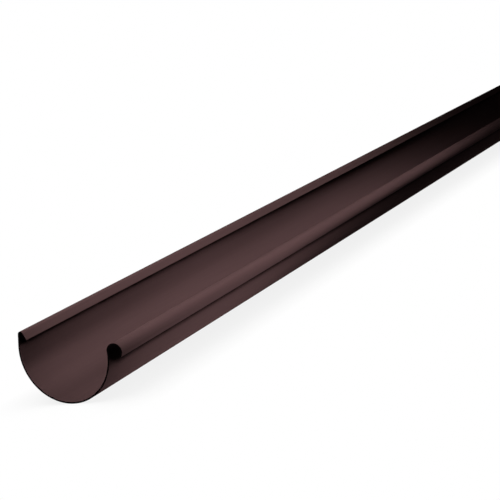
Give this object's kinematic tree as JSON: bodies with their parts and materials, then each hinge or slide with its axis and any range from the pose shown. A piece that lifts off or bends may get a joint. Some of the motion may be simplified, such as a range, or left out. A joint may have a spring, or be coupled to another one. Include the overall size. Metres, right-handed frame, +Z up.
{
  "type": "half-round gutter section",
  "caption": "Straight length of half-round eaves gutter with a rolled front bead and an inward rear hook",
  "frame": {"origin": "on the floor, in the middle of the length and of the width", "axes": "+Y along the gutter, +X to the front where the bead is, +Z up; the section is rolled 11.9 degrees towards its bead about Y, as it comes to rest"},
  "size_m": [0.1433, 3, 0.0924],
  "materials": {
    "brown_pvc": "satin chocolate brown, coloured through"
  },
  "bodies": {
    "root": {"gutter_section": "brown_pvc"}
  },
  "joints": []
}
